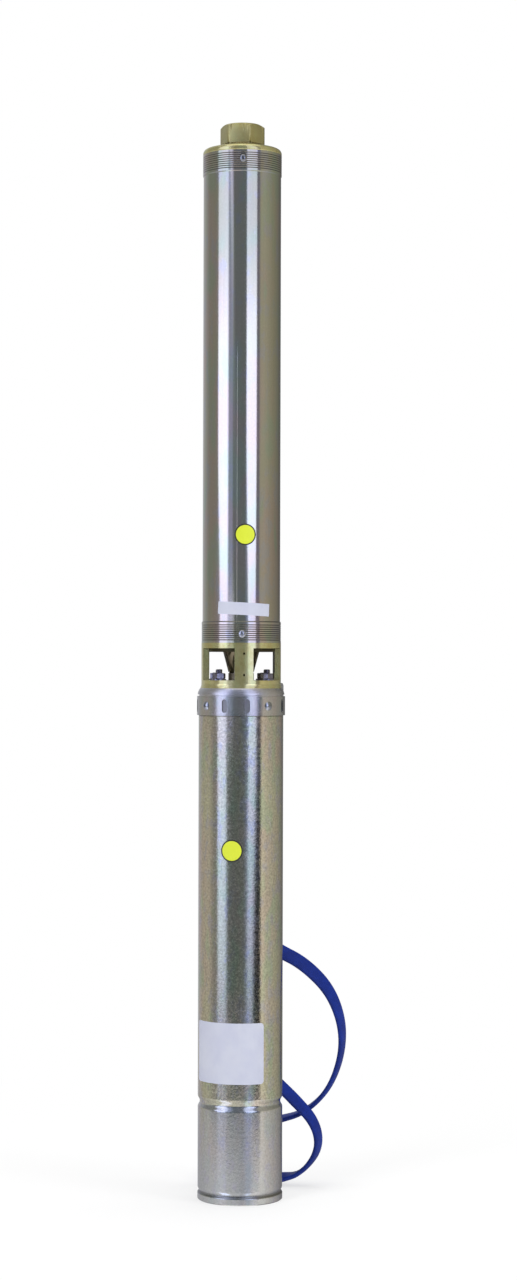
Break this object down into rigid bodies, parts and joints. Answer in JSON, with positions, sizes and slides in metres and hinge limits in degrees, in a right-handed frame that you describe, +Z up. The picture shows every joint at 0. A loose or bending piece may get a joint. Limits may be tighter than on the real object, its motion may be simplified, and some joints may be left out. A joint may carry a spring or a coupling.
{
  "type": "borehole submersible pump",
  "caption": "Slim multistage borehole pump on its submersible motor, with an open suction connector, a threaded discharge head, a non-return valve and a flat motor lead.",
  "frame": {"origin": "on the shaft's axis, in the plane of the foot rim that the pump stands on", "axes": "+Z up along the shaft to the discharge thread; -Y is the front, +X the right"},
  "size_m": [0.1733, 0.2051, 1.2165],
  "materials": {
    "zinc_casing": "zinc-plated, yellow-passivated steel tube, satin",
    "end_steel": "zinc-plated pressed steel, slightly matte",
    "brass": "machined brass casting, lightly tarnished",
    "fastener_steel": "plated fastener steel",
    "shaft_steel": "ground stainless steel",
    "cast_iron": "machined grey iron",
    "core_steel": "stacked laminations",
    "copper": "varnished copper wire bundle",
    "bearing_metal": "bearing bronze",
    "seal_face": "lapped carbon and ceramic",
    "rubber": "moulded rubber",
    "gland_rubber": "moulded grey rubber boot",
    "stage_plastic": "glass-filled moulded plastic",
    "cable_blue": "satin blue flat cable sheath"
  },
  "bodies": {
    "pump_body": {"pump_casing": "zinc_casing", "motor_casing": "zinc_casing", "clamp_band": "zinc_casing", "bottom_cup": "end_steel", "bottom_cap": "end_steel", "motor_top_flange": "end_steel", "discharge_head": "brass", "suction_connector": "brass", "valve_seat": "brass", "valve_guide": "brass", "casing_screws": "fastener_steel", "clamp_band_screws": "fastener_steel", "flange_studs": "fastener_steel", "flange_nuts": "fastener_steel", "flange_washers": "fastener_steel", "lower_bracket": "cast_iron", "thrust_carrier": "cast_iron", "stator_core": "core_steel", "stator_winding": "copper", "upper_bush": "bearing_metal", "lower_bush": "bearing_metal", "thrust_pads": "bearing_metal", "seal_seat": "seal_face", "pressure_membrane": "rubber", "inlet_bush": "rubber", "top_bush": "rubber", "cable_gland": "gland_rubber", "top_bearing_holder": "stage_plastic", "stage_bowl_01": "stage_plastic", "stage_bowl_02": "stage_plastic", "stage_bowl_03": "stage_plastic", "stage_bowl_04": "stage_plastic", "stage_bowl_05": "stage_plastic", "stage_bowl_06": "stage_plastic", "stage_bowl_07": "stage_plastic", "stage_bowl_08": "stage_plastic", "stage_bowl_09": "stage_plastic", "stage_bowl_10": "stage_plastic", "motor_lead": "cable_blue", "lead_coil": "cable_blue"},
    "rotor": {"motor_shaft": "shaft_steel", "rotor_core": "core_steel", "thrust_disc": "shaft_steel", "seal_head": "seal_face", "sand_slinger": "rubber", "shaft_coupling": "shaft_steel", "pump_shaft": "shaft_steel", "shaft_nut": "brass", "impeller_01": "stage_plastic", "impeller_02": "stage_plastic", "impeller_03": "stage_plastic", "impeller_04": "stage_plastic", "impeller_05": "stage_plastic", "impeller_06": "stage_plastic", "impeller_07": "stage_plastic", "impeller_08": "stage_plastic", "impeller_09": "stage_plastic", "impeller_10": "stage_plastic"},
    "valve": {"valve_poppet": "brass"}
  },
  "joints": [
    {"name": "rotor_spin", "type": "hinge", "parent": "pump_body", "child": "rotor", "pos_m": [0, 0, 0.3], "axis": [0, 0, 1], "continuous": true},
    {"name": "valve_lift", "type": "slide", "parent": "pump_body", "child": "valve", "axis": [0, 0, 1], "range_m": [0, 0.0078]}
  ]
}
